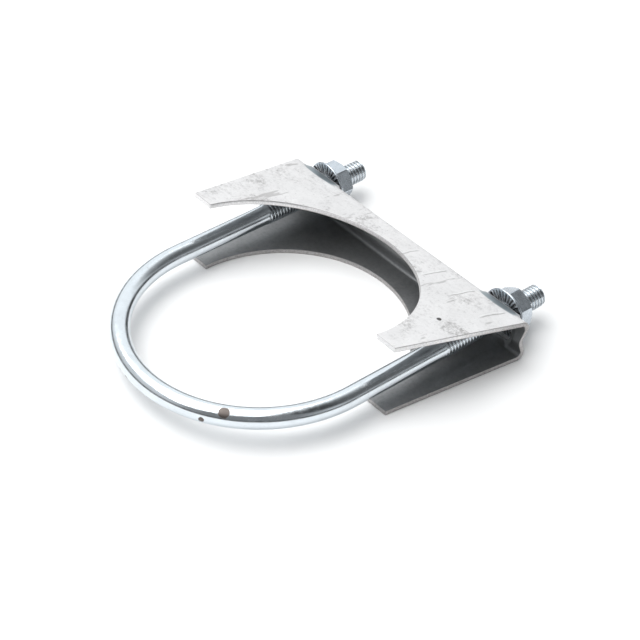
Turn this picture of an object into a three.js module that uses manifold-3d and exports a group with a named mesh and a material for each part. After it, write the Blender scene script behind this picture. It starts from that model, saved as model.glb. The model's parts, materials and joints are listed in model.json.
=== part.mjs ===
// A four-inch exhaust pipe clamp: a round-rod U-bolt, a folded sheet-steel saddle and two
// serrated flange nuts. Millimetres, +Z up. The saddle's lower flange lies flat on Z = 0 and the
// U-bolt lies level, its bow towards -Y and its threaded leg ends towards +Y. The origin is on the
// surface below the middle of the whole clamp.
import * as THREE from 'three';
import { mergeVertices } from 'three/addons/utils/BufferGeometryUtils.js';
import Module from 'manifold-3d';

const manifoldLibrary = await Module();
manifoldLibrary.setup();

// Pipe and U-bolt
const pipeDiameter = 101.6;
const pipeClearance = 0.5;
const shankDiameter = 8.6;
const threadDiameter = 9.4;
const threadEndChamfer = 1.1;
const threadLeadIn = 0.6;
const threadLength = 54.3;
const legBeyondNut = 11.3;

// Saddle: a channel of sheet steel with both flanges cut to an arc
const sheetThickness = 2;
const insideBendRadius = 1.4;
const legTopRoom = 0.8;
const legBottomRoom = 4.8;
const saddleEndMargin = 16.1;
const wingTipWidth = 10.8;
const saddleArcClearance = 1.2;
const saddleBehindArc = 12.3;
const clampOpening = 12.6;
const flangeSplay = THREE.MathUtils.degToRad(6.2);
const beadDepth = 1.9;
const beadHalfHeight = 6;
const seatStandOff = 1.4;
const slotSidePlay = 3.5;
const slotTopPlay = 0.75;
const slotBottomPlay = 2.6;
const slotCornerRadius = 2.7;

// Nuts
const nutAcrossFlats = 15.875;
const nutHeight = 8.4;
const nutFlangeProud = 2.86;
const nutFlangeRim = 0.8;
const nutFlangeHeight = 1.7;
const nutFlangeEdge = 0.3;
const nutBoreClearance = 0.3;
const nutFaceMargin = 0.39;
const nutChamferAngle = THREE.MathUtils.degToRad(30);
const nutBoreChamfer = 0.6;
const nutSeatGap = 0.5;
const leftNutTurn = 0;
const rightNutTurn = THREE.MathUtils.degToRad(29);

// Smoothness
const rodSides = 20;
const bowSteps = 72;
const bendSteps = 5;
const beadSteps = 10;
const arcSteps = 40;
const roundSides = 40;
const cutOverrun = 2;

// Worked-out sizes
const shankRadius = shankDiameter / 2;
const threadRadius = threadDiameter / 2;
const bowRadius = pipeDiameter / 2 + pipeClearance + shankRadius;
const saddlePitch = flangeSplay;
const saddleArcRadius = pipeDiameter / 2 + saddleArcClearance;
const flangeReach = saddleBehindArc + saddleArcRadius;
const webBehindBow = clampOpening + flangeReach;
const saddleBackWidth = 2 * (bowRadius + saddleEndMargin);
const saddleTipWidth = 2 * (saddleArcRadius + wingTipWidth);
const outsideBendRadius = insideBendRadius + sheetThickness;
const webHeight = legBottomRoom + threadDiameter + legTopRoom + 2 * sheetThickness;
const legAboveWebMiddle = (legBottomRoom - legTopRoom) / 2;
const bendHeight = webHeight / 2 - outsideBendRadius;
const bendLean = bendHeight * Math.cos(saddlePitch) - outsideBendRadius * Math.sin(saddlePitch);
const legAboveFlange = outsideBendRadius + bendLean + legAboveWebMiddle * Math.cos(saddlePitch);
const nutFlangeDiameter = nutAcrossFlats + 2 * nutFlangeProud;
const legHeight = Math.max(legAboveFlange, nutFlangeDiameter / 2);
const webMiddleHeight = legHeight - legAboveWebMiddle * Math.cos(saddlePitch);
const flangeSpread = webHeight + 2 * flangeReach * Math.tan(flangeSplay);
const legSlotWidth = threadDiameter + 2 * slotSidePlay;
const legSlotHeight = threadDiameter + slotTopPlay + slotBottomPlay;
const slotAboveWebMiddle = legAboveWebMiddle + (slotTopPlay - slotBottomPlay) / 2;
const nutChamferCircle = nutAcrossFlats - 2 * nutFaceMargin;
const nutBoreRadius = threadRadius + nutBoreClearance;
const seatDiameter = nutFlangeDiameter;
const seatHeight = webHeight - outsideBendRadius;
const seatTopLean = seatHeight / 2 * Math.sin(saddlePitch);
const nutSeat = webBehindBow + seatStandOff + seatTopLean + nutSeatGap;
const legEndLength = nutSeat + nutHeight + legBeyondNut;
const plainLegLength = legEndLength - threadLength;
const originShift = (bowRadius + shankRadius - legEndLength) / 2;

// Booleans and closed shapes

function toSolid(geometry) {
  const bare = geometry.index ? geometry.toNonIndexed() : geometry.clone();
  bare.deleteAttribute('normal');
  bare.deleteAttribute('uv');
  const merged = mergeVertices(bare, 1e-4);
  return new manifoldLibrary.Manifold(new manifoldLibrary.Mesh({
    numProp: 3,
    vertProperties: new Float32Array(merged.attributes.position.array),
    triVerts: new Uint32Array(merged.index.array),
  }));
}

function toGeometry(solid) {
  const mesh = solid.getMesh();
  const geometry = new THREE.BufferGeometry();
  geometry.setAttribute('position', new THREE.BufferAttribute(mesh.vertProperties, 3));
  geometry.setIndex(new THREE.BufferAttribute(mesh.triVerts, 1));
  geometry.computeVertexNormals();
  return geometry;
}

// A prism of a closed outline, drawn in its own X and Y and rising along Z
function prism(points, length) {
  const shape = new THREE.Shape(points);
  return new THREE.ExtrudeGeometry(shape, { depth: length, bevelEnabled: false, curveSegments: arcSteps });
}

// A solid of revolution about Y from a list of [radius, y] corners that starts and ends on the axis
function turned(corners, sides) {
  return new THREE.LatheGeometry(corners.map(([radius, y]) => new THREE.Vector2(radius, y)), sides);
}

function rod(radius, from, to, sides) {
  return turned([[0, from], [radius, from], [radius, to], [0, to]], sides);
}

// U-bolt: two straight legs joined by a half-circle bow, drawn about the bow's centre

class UPath extends THREE.Curve {
  getPoint(t) {
    const bowLength = Math.PI * bowRadius;
    const along = t * (bowLength + 2 * plainLegLength);
    if (along < plainLegLength) {
      return new THREE.Vector3(-bowRadius, plainLegLength - along, 0);
    }
    if (along > plainLegLength + bowLength) {
      return new THREE.Vector3(bowRadius, along - plainLegLength - bowLength, 0);
    }
    const angle = Math.PI + (along - plainLegLength) / bowRadius;
    return new THREE.Vector3(bowRadius * Math.cos(angle), bowRadius * Math.sin(angle), 0);
  }
}

function makeUBolt() {
  const section = new THREE.Shape();
  section.absarc(0, 0, shankRadius, 0, 2 * Math.PI);
  const bow = new THREE.ExtrudeGeometry(section, {
    steps: bowSteps,
    curveSegments: rodSides / 2,
    extrudePath: new UPath(),
  });
  let solid = toSolid(bow);
  for (const side of [-1, 1]) {
    const leg = turned([
      [0, plainLegLength - threadLeadIn],
      [shankRadius - threadLeadIn / 2, plainLegLength - threadLeadIn],
      [threadRadius, plainLegLength + threadLeadIn / 2],
      [threadRadius, legEndLength - threadEndChamfer],
      [threadRadius - threadEndChamfer, legEndLength],
      [0, legEndLength],
    ], rodSides);
    leg.translate(side * bowRadius, 0, 0);
    solid = solid.add(toSolid(leg));
  }
  return toGeometry(solid);
}

// Saddle, drawn with its web's outer face near y = 0, its middle height at z = 0, flanges to -y

function beadOffset(height) {
  const share = Math.min(1, Math.abs(height) / beadHalfHeight);
  return -beadDepth * (1 + Math.cos(Math.PI * share)) / 2;
}

// One face of the folded sheet as a line from the upper flange's tip round to the lower one's.
// The inset is how far the face lies inside the sheet's outer face.
function channelLine(inset) {
  const radius = outsideBendRadius - inset;
  const reach = flangeReach + cutOverrun;
  const upper = [];
  const tipRise = (reach - outsideBendRadius) * Math.tan(flangeSplay);
  const tipHeight = bendHeight + radius / Math.cos(flangeSplay) + tipRise;
  upper.push(new THREE.Vector2(-reach, tipHeight));
  for (let step = 0; step <= bendSteps; step += 1) {
    const angle = (Math.PI / 2 - flangeSplay) * (1 - step / bendSteps);
    const y = -outsideBendRadius + radius * Math.cos(angle);
    upper.push(new THREE.Vector2(y, bendHeight + radius * Math.sin(angle)));
  }
  const web = [];
  for (let step = 1; step < beadSteps; step += 1) {
    const height = bendHeight * (1 - 2 * step / beadSteps);
    web.push(new THREE.Vector2(-inset + beadOffset(height), height));
  }
  const lower = upper.map((point) => new THREE.Vector2(point.x, -point.y)).reverse();
  return [...upper, ...web, ...lower];
}

// The plan of the saddle: straight back, tapered ends, wing tips and the arc that fits the pipe
function saddlePlan() {
  const outline = [
    new THREE.Vector2(saddleBackWidth / 2, seatStandOff + cutOverrun),
    new THREE.Vector2(-saddleBackWidth / 2, seatStandOff + cutOverrun),
    new THREE.Vector2(-saddleBackWidth / 2, 0),
    new THREE.Vector2(-saddleTipWidth / 2, -flangeReach),
  ];
  for (let step = 0; step <= arcSteps; step += 1) {
    const angle = Math.PI * (1 - step / arcSteps);
    const x = saddleArcRadius * Math.cos(angle);
    outline.push(new THREE.Vector2(x, -flangeReach + saddleArcRadius * Math.sin(angle)));
  }
  outline.push(new THREE.Vector2(saddleTipWidth / 2, -flangeReach));
  outline.push(new THREE.Vector2(saddleBackWidth / 2, 0));
  return outline.reverse();
}

// The web stands out as a round pad behind each leg slot, so that the nut's flange has a seat.
// The pad is kept between the two bends by a box of the web's own height.
function seatPad(side, inset, depth) {
  const radius = seatDiameter / 2 - inset;
  const disc = rod(radius, -depth - inset, seatStandOff - inset, roundSides);
  disc.translate(side * bowRadius, 0, legAboveWebMiddle);
  const limit = new THREE.BoxGeometry(2 * seatDiameter, 2 * seatDiameter, seatHeight - 2 * inset);
  limit.translate(side * bowRadius, 0, 0);
  return toSolid(disc).intersect(toSolid(limit));
}

function legSlot(side) {
  const corner = slotCornerRadius;
  const halfWidth = legSlotWidth / 2;
  const halfHeight = legSlotHeight / 2;
  const shape = new THREE.Shape();
  shape.moveTo(-halfWidth + corner, -halfHeight);
  shape.lineTo(halfWidth - corner, -halfHeight);
  shape.absarc(halfWidth - corner, -halfHeight + corner, corner, -Math.PI / 2, 0);
  shape.absarc(halfWidth - corner, halfHeight - corner, corner, 0, Math.PI / 2);
  shape.absarc(-halfWidth + corner, halfHeight - corner, corner, Math.PI / 2, Math.PI);
  shape.absarc(-halfWidth + corner, -halfHeight + corner, corner, Math.PI, 3 * Math.PI / 2);
  const cutter = new THREE.ExtrudeGeometry(shape, {
    depth: 2 * outsideBendRadius,
    bevelEnabled: false,
    curveSegments: bendSteps,
  });
  cutter.rotateX(Math.PI / 2);
  cutter.translate(side * bowRadius, outsideBendRadius, slotAboveWebMiddle);
  return toSolid(cutter);
}

// The space inside one face of the channel, closed by a wall ahead of the wing tips
function channelFill(inset) {
  const fill = prism(channelLine(inset).reverse(), saddleBackWidth + 2 * cutOverrun);
  fill.applyMatrix4(new THREE.Matrix4().makeBasis(
    new THREE.Vector3(0, 1, 0),
    new THREE.Vector3(0, 0, 1),
    new THREE.Vector3(1, 0, 0),
  ));
  fill.translate(-saddleBackWidth / 2 - cutOverrun, 0, 0);
  return toSolid(fill);
}

function makeSaddle() {
  let outside = channelFill(0);
  let inside = channelFill(sheetThickness);
  for (const side of [-1, 1]) {
    outside = outside.add(seatPad(side, 0, outsideBendRadius));
    inside = inside.add(seatPad(side, sheetThickness, outsideBendRadius));
  }
  const plan = prism(saddlePlan(), flangeSpread + 2 * cutOverrun);
  plan.translate(0, 0, -flangeSpread / 2 - cutOverrun);
  let solid = outside.subtract(inside).intersect(toSolid(plan));
  for (const side of [-1, 1]) {
    solid = solid.subtract(legSlot(side));
  }
  return toGeometry(solid);
}

// Nut, drawn with its seat at y = 0 and its hexagon towards +y

function makeNut() {
  const corner = nutAcrossFlats / Math.sqrt(3);
  const hexagonStart = nutFlangeEdge;
  const hexagon = new THREE.CylinderGeometry(corner, corner, nutHeight - hexagonStart, 6);
  hexagon.rotateY(Math.PI / 6);
  hexagon.translate(0, (nutHeight + hexagonStart) / 2, 0);
  const chamferDrop = (nutFlangeDiameter - nutChamferCircle) / 2 * Math.tan(nutChamferAngle);
  const chamferCone = turned([
    [0, 0],
    [nutFlangeDiameter / 2, 0],
    [nutFlangeDiameter / 2, nutHeight - chamferDrop],
    [nutChamferCircle / 2, nutHeight],
    [0, nutHeight],
  ], roundSides);
  const flange = turned([
    [0, 0],
    [nutFlangeDiameter / 2 - nutFlangeEdge, 0],
    [nutFlangeDiameter / 2, nutFlangeEdge],
    [nutFlangeDiameter / 2, nutFlangeRim],
    [nutAcrossFlats / 2, nutFlangeHeight],
    [0, nutFlangeHeight],
  ], roundSides);
  const bore = turned([
    [0, -cutOverrun],
    [nutBoreRadius + nutBoreChamfer + cutOverrun, -cutOverrun],
    [nutBoreRadius, nutBoreChamfer],
    [nutBoreRadius, nutHeight - nutBoreChamfer],
    [nutBoreRadius + nutBoreChamfer + cutOverrun, nutHeight + cutOverrun],
    [0, nutHeight + cutOverrun],
  ], rodSides);
  const body = toSolid(hexagon).intersect(toSolid(chamferCone)).add(toSolid(flange));
  return toGeometry(body.subtract(toSolid(bore)));
}

// Materials

const brightZinc = new THREE.MeshStandardMaterial({ color: '#b9c2c8', metalness: 1, roughness: 0.2 });
const galvanizedSheet = new THREE.MeshStandardMaterial({ color: '#c9c7c4', metalness: 0.9, roughness: 0.5 });
const nutZinc = new THREE.MeshStandardMaterial({ color: '#8e979e', metalness: 1, roughness: 0.3 });

function namedMesh(name, geometry, material) {
  const mesh = new THREE.Mesh(geometry, material);
  mesh.name = name;
  return mesh;
}

const clamp = new THREE.Group();

const uBolt = namedMesh('u_bolt', makeUBolt(), brightZinc);
uBolt.position.set(0, originShift, legHeight);
clamp.add(uBolt);

const saddle = namedMesh('saddle', makeSaddle(), galvanizedSheet);
saddle.position.set(0, webBehindBow + originShift, webMiddleHeight);
saddle.rotation.x = -saddlePitch;
clamp.add(saddle);

for (const [name, side, turn] of [['left_nut', -1, leftNutTurn], ['right_nut', 1, rightNutTurn]]) {
  const nut = namedMesh(name, makeNut(), nutZinc);
  nut.position.set(side * bowRadius, nutSeat + originShift, legHeight);
  nut.rotation.y = -turn;
  clamp.add(nut);
}

export default clamp;
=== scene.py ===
import json
import math

import bmesh
import bpy
import numpy as np
from bpy.props import FloatProperty, FloatVectorProperty, IntProperty, PointerProperty
from mathutils import Matrix, Vector


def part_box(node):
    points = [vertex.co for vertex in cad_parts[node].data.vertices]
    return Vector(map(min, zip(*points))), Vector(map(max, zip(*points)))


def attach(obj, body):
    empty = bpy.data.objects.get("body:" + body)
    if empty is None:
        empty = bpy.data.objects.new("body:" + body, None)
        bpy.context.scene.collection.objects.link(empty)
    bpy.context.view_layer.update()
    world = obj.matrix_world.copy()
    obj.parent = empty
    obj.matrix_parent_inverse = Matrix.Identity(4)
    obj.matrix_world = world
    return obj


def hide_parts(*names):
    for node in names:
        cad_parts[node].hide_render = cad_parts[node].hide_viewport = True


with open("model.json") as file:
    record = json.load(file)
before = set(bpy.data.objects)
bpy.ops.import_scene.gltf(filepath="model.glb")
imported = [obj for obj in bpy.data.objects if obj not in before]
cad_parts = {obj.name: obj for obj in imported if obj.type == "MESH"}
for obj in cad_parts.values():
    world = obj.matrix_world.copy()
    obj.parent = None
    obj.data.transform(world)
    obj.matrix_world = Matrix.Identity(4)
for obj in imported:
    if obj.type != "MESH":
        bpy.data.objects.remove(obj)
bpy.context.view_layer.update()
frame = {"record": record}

bl_info = {
    "name": "Exhaust Pipe Clamp",
    "version": (1, 0, 0),
    "blender": (4, 5, 0),
    "location": "View3D > Sidebar > Pipe Clamp",
    "description": "Builds a U-bolt pipe clamp: threaded rod, folded saddle and serrated flange nuts",
    "category": "Add Mesh",
}

ROD_LOW, ROD_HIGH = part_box("u_bolt")
SADDLE_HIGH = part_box("saddle")[1]
NUT_BOXES = {name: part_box(name) for name in ("left_nut", "right_nut")}
CREST_RADIUS = (ROD_HIGH.z - ROD_LOW.z) / 2
LEG_OFFSET = ROD_HIGH.x - CREST_RADIUS
LEG_HEIGHT = (ROD_HIGH.z + ROD_LOW.z) / 2
TAU = 2 * math.pi


# Sizes and finishes that a user would change


class ThreadSizes(bpy.types.PropertyGroup):
    pitch: FloatProperty(
        name="Pitch", description="Distance between two crests of the rolled thread",
        default=0.0015875, unit="LENGTH", precision=5,
    )
    root_radius: FloatProperty(
        name="Root radius", description="Radius at the bottom of the thread",
        default=0.00388, unit="LENGTH", precision=5,
    )
    nut_clearance: FloatProperty(
        name="Nut clearance", description="Radial room between the leg's thread and the nut's",
        default=0.0002, unit="LENGTH", precision=5,
    )
    rings_per_pitch: IntProperty(
        name="Rings per pitch", description="How finely the thread is cut", default=16,
    )
    length: FloatProperty(
        name="Thread length", description="Length of the rolled thread on each leg",
        default=0.0543, unit="LENGTH", precision=5,
    )


class RodSizes(bpy.types.PropertyGroup):
    shank_radius: FloatProperty(
        name="Shank radius", description="Radius of the plain rod",
        default=0.0043, unit="LENGTH", precision=5,
    )
    end_chamfer: FloatProperty(
        name="End chamfer", description="Chamfer at the tip of each leg",
        default=0.0011, unit="LENGTH", precision=5,
    )
    end_dimple: FloatProperty(
        name="End dimple", description="Depth of the dimple that thread rolling leaves in the tip",
        default=0.00025, unit="LENGTH", precision=5,
    )
    lead_in: FloatProperty(
        name="Lead-in", description="Length over which the thread's crest falls to the shank",
        default=0.0006, unit="LENGTH", precision=5,
    )
    sides: IntProperty(name="Sides", description="Facets round the rod", default=48)
    bow_steps: IntProperty(name="Bow steps", description="Rings round the bow", default=144)


class NutSizes(bpy.types.PropertyGroup):
    across_flats: FloatProperty(
        name="Across flats", description="Spanner size of the hexagon",
        default=0.015875, unit="LENGTH", precision=5,
    )
    face_margin: FloatProperty(
        name="Face margin", description="How far the chamfer runs in over each flat",
        default=0.00039, unit="LENGTH", precision=5,
    )
    chamfer_angle: FloatProperty(
        name="Chamfer angle", description="Slope of the hexagon's chamfer",
        default=math.radians(30), subtype="ANGLE",
    )
    flange_rim: FloatProperty(
        name="Flange rim", description="Height of the flange's upright rim",
        default=0.0008, unit="LENGTH", precision=5,
    )
    flange_height: FloatProperty(
        name="Flange height", description="Height at which the flange meets the flats",
        default=0.0017, unit="LENGTH", precision=5,
    )
    countersink_radius: FloatProperty(
        name="Countersink radius", description="Radius of the bore's mouth at both ends",
        default=0.0054, unit="LENGTH", precision=5,
    )
    corner_sharpness: FloatProperty(
        name="Corner sharpness", description="Higher values give the hexagon tighter corners",
        default=80.0,
    )
    sides: IntProperty(name="Sides", description="Facets round the nut", default=240)
    tooth_count: IntProperty(
        name="Teeth", description="Serrations on the seat face", default=32,
    )
    tooth_depth: FloatProperty(
        name="Tooth depth", description="Depth of each serration",
        default=0.00045, unit="LENGTH", precision=5,
    )


class SaddleSizes(bpy.types.PropertyGroup):
    sheet: FloatProperty(
        name="Sheet", description="Thickness of the sheet",
        default=0.002, unit="LENGTH", precision=5,
    )
    bend_radius: FloatProperty(
        name="Bend radius", description="Outside radius of both bends",
        default=0.0034, unit="LENGTH", precision=5,
    )
    web_height: FloatProperty(
        name="Web height", description="Outside height of the channel's web",
        default=0.019, unit="LENGTH", precision=5,
    )
    splay: FloatProperty(
        name="Splay", description="How far each flange opens beyond square",
        default=math.radians(6.2), subtype="ANGLE",
    )
    arc_radius: FloatProperty(
        name="Arc radius", description="Radius of the flanges' pipe arc",
        default=0.052, unit="LENGTH", precision=5,
    )
    behind_arc: FloatProperty(
        name="Behind arc", description="Metal between the arc and the back of the web",
        default=0.0123, unit="LENGTH", precision=5,
    )
    tip_width: FloatProperty(
        name="Tip width", description="Width of each wing tip's end",
        default=0.0108, unit="LENGTH", precision=5,
    )
    bead_depth: FloatProperty(
        name="Bead depth", description="Depth of the groove pressed along the web",
        default=0.0019, unit="LENGTH", precision=5,
    )
    bead_half_height: FloatProperty(
        name="Bead half height", description="Half the height of the web's groove",
        default=0.006, unit="LENGTH", precision=5,
    )
    leg_above_middle: FloatProperty(
        name="Leg height", description="Height of the legs above the web's middle line",
        default=0.002, unit="LENGTH", precision=5,
    )
    seat_radius: FloatProperty(
        name="Seat radius", description="Radius of the round seat pressed out for each nut",
        default=0.0108, unit="LENGTH", precision=5,
    )
    seat_stand_off: FloatProperty(
        name="Seat stand-off", description="How far each seat stands out of the web",
        default=0.0014, unit="LENGTH", precision=5,
    )
    ramp_front: FloatProperty(
        name="Ramp front", description="Where the ramp pressed into the bend starts, ahead of the web",
        default=0.0036, unit="LENGTH", precision=5,
    )
    ramp_drop: FloatProperty(
        name="Ramp drop", description="How far the ramp falls from the flange to its crest",
        default=0.0016, unit="LENGTH", precision=5,
    )
    slot_half_width: FloatProperty(
        name="Slot half width", description="Half the width of each leg slot",
        default=0.0082, unit="LENGTH", precision=5,
    )
    slot_top: FloatProperty(
        name="Slot top", description="Height of the slot's top above the leg's axis",
        default=0.0051, unit="LENGTH", precision=5,
    )
    slot_bottom: FloatProperty(
        name="Slot bottom", description="Depth of the slot's foot below the leg's axis",
        default=0.0073, unit="LENGTH", precision=5,
    )
    slot_corner: FloatProperty(
        name="Slot corner", description="Radius of the slot's corners",
        default=0.0026, unit="LENGTH", precision=5,
    )
    columns: IntProperty(name="Columns", description="Steps across the saddle", default=300)


class ClampFinishes(bpy.types.PropertyGroup):
    rod_zinc: FloatVectorProperty(
        name="Rod zinc", description="Colour of the rod's bright zinc plate",
        subtype="COLOR", size=3, default=(0.74, 0.79, 0.83), min=0, max=1,
    )
    sheet_zinc: FloatVectorProperty(
        name="Sheet zinc", description="Colour of the galvanized sheet",
        subtype="COLOR", size=3, default=(0.86, 0.85, 0.85), min=0, max=1,
    )
    nut_zinc: FloatVectorProperty(
        name="Nut zinc", description="Colour of the nuts' zinc plate",
        subtype="COLOR", size=3, default=(0.60, 0.65, 0.70), min=0, max=1,
    )
    # Painted shade: the channel's inner faces are coloured dark to stand in for the shade inside the channel
    inside_painted_shade: FloatVectorProperty(
        name="Inside shade", description="Colour of the channel's oily inner faces",
        subtype="COLOR", size=3, default=(0.27, 0.275, 0.28), min=0, max=1,
    )
    # Painted shade and reflection: dark blue-grey colour for the ramps pressed into the upper bend
    ramp_painted_shade: FloatVectorProperty(
        name="Ramp shade", description="Colour of the ramps pressed into the upper bend",
        subtype="COLOR", size=3, default=(0.36, 0.41, 0.44), min=0, max=1,
    )
    # Dirt colour for scuffs, smudges, specks and wear, also used for painted shade and shadow in hollows,
    # along edges and beside the press marks
    grime_and_shade: FloatVectorProperty(
        name="Grime and shade", description="Colour of scuffs, smudges and oil, also painted as shade",
        subtype="COLOR", size=3, default=(0.30, 0.285, 0.28), min=0, max=1,
    )
    bare_steel: FloatVectorProperty(
        name="Bare steel", description="Colour of spots where the plate is missing",
        subtype="COLOR", size=3, default=(0.15, 0.13, 0.12), min=0, max=1,
    )


class StageSettings(bpy.types.PropertyGroup):
    camera_place: FloatVectorProperty(
        name="Camera place", description="Where the camera stands",
        subtype="TRANSLATION", size=3, default=(0.42984, -0.35042, 0.46420),
    )
    camera_heading: FloatProperty(
        name="Camera heading", description="Turn about the vertical, from looking along +Y",
        default=math.radians(49.94), subtype="ANGLE",
    )
    camera_drop: FloatProperty(
        name="Camera drop", description="How far the camera looks down below level",
        default=math.radians(39.79), subtype="ANGLE",
    )
    camera_roll: FloatProperty(
        name="Camera roll", description="Roll about the line of sight",
        default=math.radians(1.16), subtype="ANGLE",
    )
    lens: FloatProperty(
        name="Lens", description="Focal length on a 36 mm wide sensor, in millimetres",
        default=100.45,
    )
    floor_half: FloatProperty(
        name="Floor half width", description="Half the side of the square floor",
        default=4.0, unit="LENGTH",
    )
    floor_colour: FloatVectorProperty(
        name="Floor", description="Colour of the plain floor",
        subtype="COLOR", size=3, default=(0.95, 0.95, 0.95), min=0, max=1,
    )


# Meshes


def mesh_object(name, vertices, faces, attributes=None):
    """A new object with this mesh, its point attributes set"""
    mesh = bpy.data.meshes.new(name)
    mesh.from_pydata([tuple(v) for v in vertices], [], faces)
    for key, values in (attributes or {}).items():
        layer = mesh.attributes.new(key, "FLOAT", "POINT")
        layer.data.foreach_set("value", np.asarray(values, np.float32))
    mesh.validate()
    obj = bpy.data.objects.new(name, mesh)
    bpy.context.scene.collection.objects.link(obj)
    return obj


def finish_shading(obj, sharp_angle):
    """Turns the faces outwards, smooths them and keeps the real edges sharp"""
    work = bmesh.new()
    work.from_mesh(obj.data)
    bmesh.ops.recalc_face_normals(work, faces=work.faces)
    for face in work.faces:
        face.smooth = True
    for edge in work.edges:
        edge.smooth = len(edge.link_faces) == 2 and edge.calc_face_angle() < sharp_angle
    work.to_mesh(obj.data)
    work.free()


def ring_faces(rings, sides, closed):
    """Quads between rings of vertices that follow each other"""
    faces = []
    last = rings if closed else rings - 1
    for i in range(last):
        a = i * sides
        b = (i + 1) % rings * sides
        for k in range(sides):
            n = (k + 1) % sides
            faces.append((a + k, b + k, b + n, a + n))
    return faces


# Geometry node trees


class NodeBench:
    """Short calls that add nodes to a tree and join them up"""

    def add(self, kind, **settings):
        node = self.tree.nodes.new(kind)
        for key, value in settings.items():
            setattr(node, key, value)
        return node

    def feed(self, socket, value):
        """Links a socket to another, or sets it to a plain value"""
        if isinstance(value, bpy.types.NodeSocket):
            self.tree.links.new(value, socket)
        else:
            socket.default_value = value

    def math(self, operation, *values):
        node = self.add("ShaderNodeMath", operation=operation)
        for socket, value in zip(node.inputs, values):
            self.feed(socket, value)
        return node.outputs[0]


class NodeTree(NodeBench):
    """A geometry node tree with named inputs that ends in Realize Instances and Set Material"""

    def __init__(self, name, sizes):
        self.tree = bpy.data.node_groups.new(name, "GeometryNodeTree")
        self.tree.is_modifier = True
        face = self.tree.interface
        face.new_socket(name="Geometry", in_out="INPUT", socket_type="NodeSocketGeometry")
        for key, kind in sizes.items():
            face.new_socket(name=key, in_out="INPUT", socket_type=kind)
        face.new_socket(name="Material", in_out="INPUT", socket_type="NodeSocketMaterial")
        face.new_socket(name="Geometry", in_out="OUTPUT", socket_type="NodeSocketGeometry")
        self.given = self.tree.nodes.new("NodeGroupInput").outputs

    def attribute(self, name):
        node = self.add("GeometryNodeInputNamedAttribute", data_type="FLOAT")
        node.inputs["Name"].default_value = name
        return node.outputs["Attribute"]

    def leg_polar(self, offset, height):
        """Each point's x and z from its own leg's axis, and its y"""
        split = self.add("ShaderNodeSeparateXYZ")
        self.feed(split.inputs[0], self.add("GeometryNodeInputPosition").outputs[0])
        side = self.math("SIGN", split.outputs[0])
        across = self.math("SUBTRACT", split.outputs[0], self.math("MULTIPLY", side, offset))
        up = self.math("SUBTRACT", split.outputs[2], height)
        return across, split.outputs[1], up

    def move(self, x, y, z, mark, value):
        """Stores a mark on the points, moves them and closes the tree"""
        note = self.add("GeometryNodeStoreNamedAttribute", data_type="FLOAT", domain="POINT")
        self.feed(note.inputs["Geometry"], self.given["Geometry"])
        note.inputs["Name"].default_value = mark
        self.feed(note.inputs["Value"], value)
        vector = self.add("ShaderNodeCombineXYZ")
        for socket, value in zip(vector.inputs, (x, y, z)):
            self.feed(socket, value)
        shift = self.add("GeometryNodeSetPosition")
        self.feed(shift.inputs["Geometry"], note.outputs["Geometry"])
        self.feed(shift.inputs["Offset"], vector.outputs[0])
        real = self.add("GeometryNodeRealizeInstances")
        self.feed(real.inputs[0], shift.outputs[0])
        paint = self.add("GeometryNodeSetMaterial")
        self.feed(paint.inputs["Geometry"], real.outputs[0])
        self.feed(paint.inputs["Material"], self.given["Material"])
        self.feed(self.add("NodeGroupOutput").inputs[0], paint.outputs[0])
        return self.tree


# Shares of one pitch that are flat at the crest and at the root, and of one tooth that is its steep side
CREST_SHARE = 0.16
ROOT_SHARE = 0.2
STEEP_SHARE = 0.3


def thread_tree():
    """Cuts a right-hand thread round each leg's axis into the points marked thread_share"""
    number = "NodeSocketFloat"
    tree = NodeTree("right_hand_thread", {
        "Pitch": number, "Crest Radius": number, "Root Radius": number,
        "Leg Offset": number, "Leg Height": number,
        "Crest Share": number, "Root Share": number, "Inside": "NodeSocketBool",
    })
    given, calc = tree.given, tree.math
    across, along, up = tree.leg_polar(given["Leg Offset"], given["Leg Height"])
    radius = calc("SQRT", calc("ADD", calc("MULTIPLY", across, across), calc("MULTIPLY", up, up)))
    turn = calc("DIVIDE", calc("ARCTAN2", across, up), TAU)
    phase = calc("FRACT", calc("SUBTRACT", calc("DIVIDE", along, given["Pitch"]), turn))
    swing = calc("SUBTRACT", calc("MULTIPLY", phase, 2.0), 1.0)
    ridge_and_highlight = calc("SUBTRACT", 1.0, calc("ABSOLUTE", swing))
    shape = tree.add("ShaderNodeMapRange", interpolation_type="SMOOTHSTEP")
    tree.feed(shape.inputs["Value"], ridge_and_highlight)
    tree.feed(shape.inputs["From Min"], given["Root Share"])
    tree.feed(shape.inputs["From Max"], calc("SUBTRACT", 1.0, given["Crest Share"]))
    depth = calc("SUBTRACT", given["Crest Radius"], given["Root Radius"])
    cut = calc("ADD", given["Root Radius"], calc("MULTIPLY", depth, shape.outputs[0]))
    choose = tree.add("GeometryNodeSwitch", input_type="FLOAT")
    tree.feed(choose.inputs[0], given["Inside"])
    tree.feed(choose.inputs[1], calc("MINIMUM", radius, cut))
    tree.feed(choose.inputs[2], calc("MAXIMUM", radius, cut))
    change = calc("MULTIPLY", calc("SUBTRACT", choose.outputs[0], radius), tree.attribute("thread_share"))
    grow = calc("DIVIDE", change, calc("MAXIMUM", radius, 1e-6))
    hollow = calc("MULTIPLY", calc("SUBTRACT", 1.0, shape.outputs[0]), tree.attribute("thread_share"))
    shift = calc("MULTIPLY", across, grow), 0.0, calc("MULTIPLY", up, grow)
    return tree.move(*shift, "thread_hollow", hollow)


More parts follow.
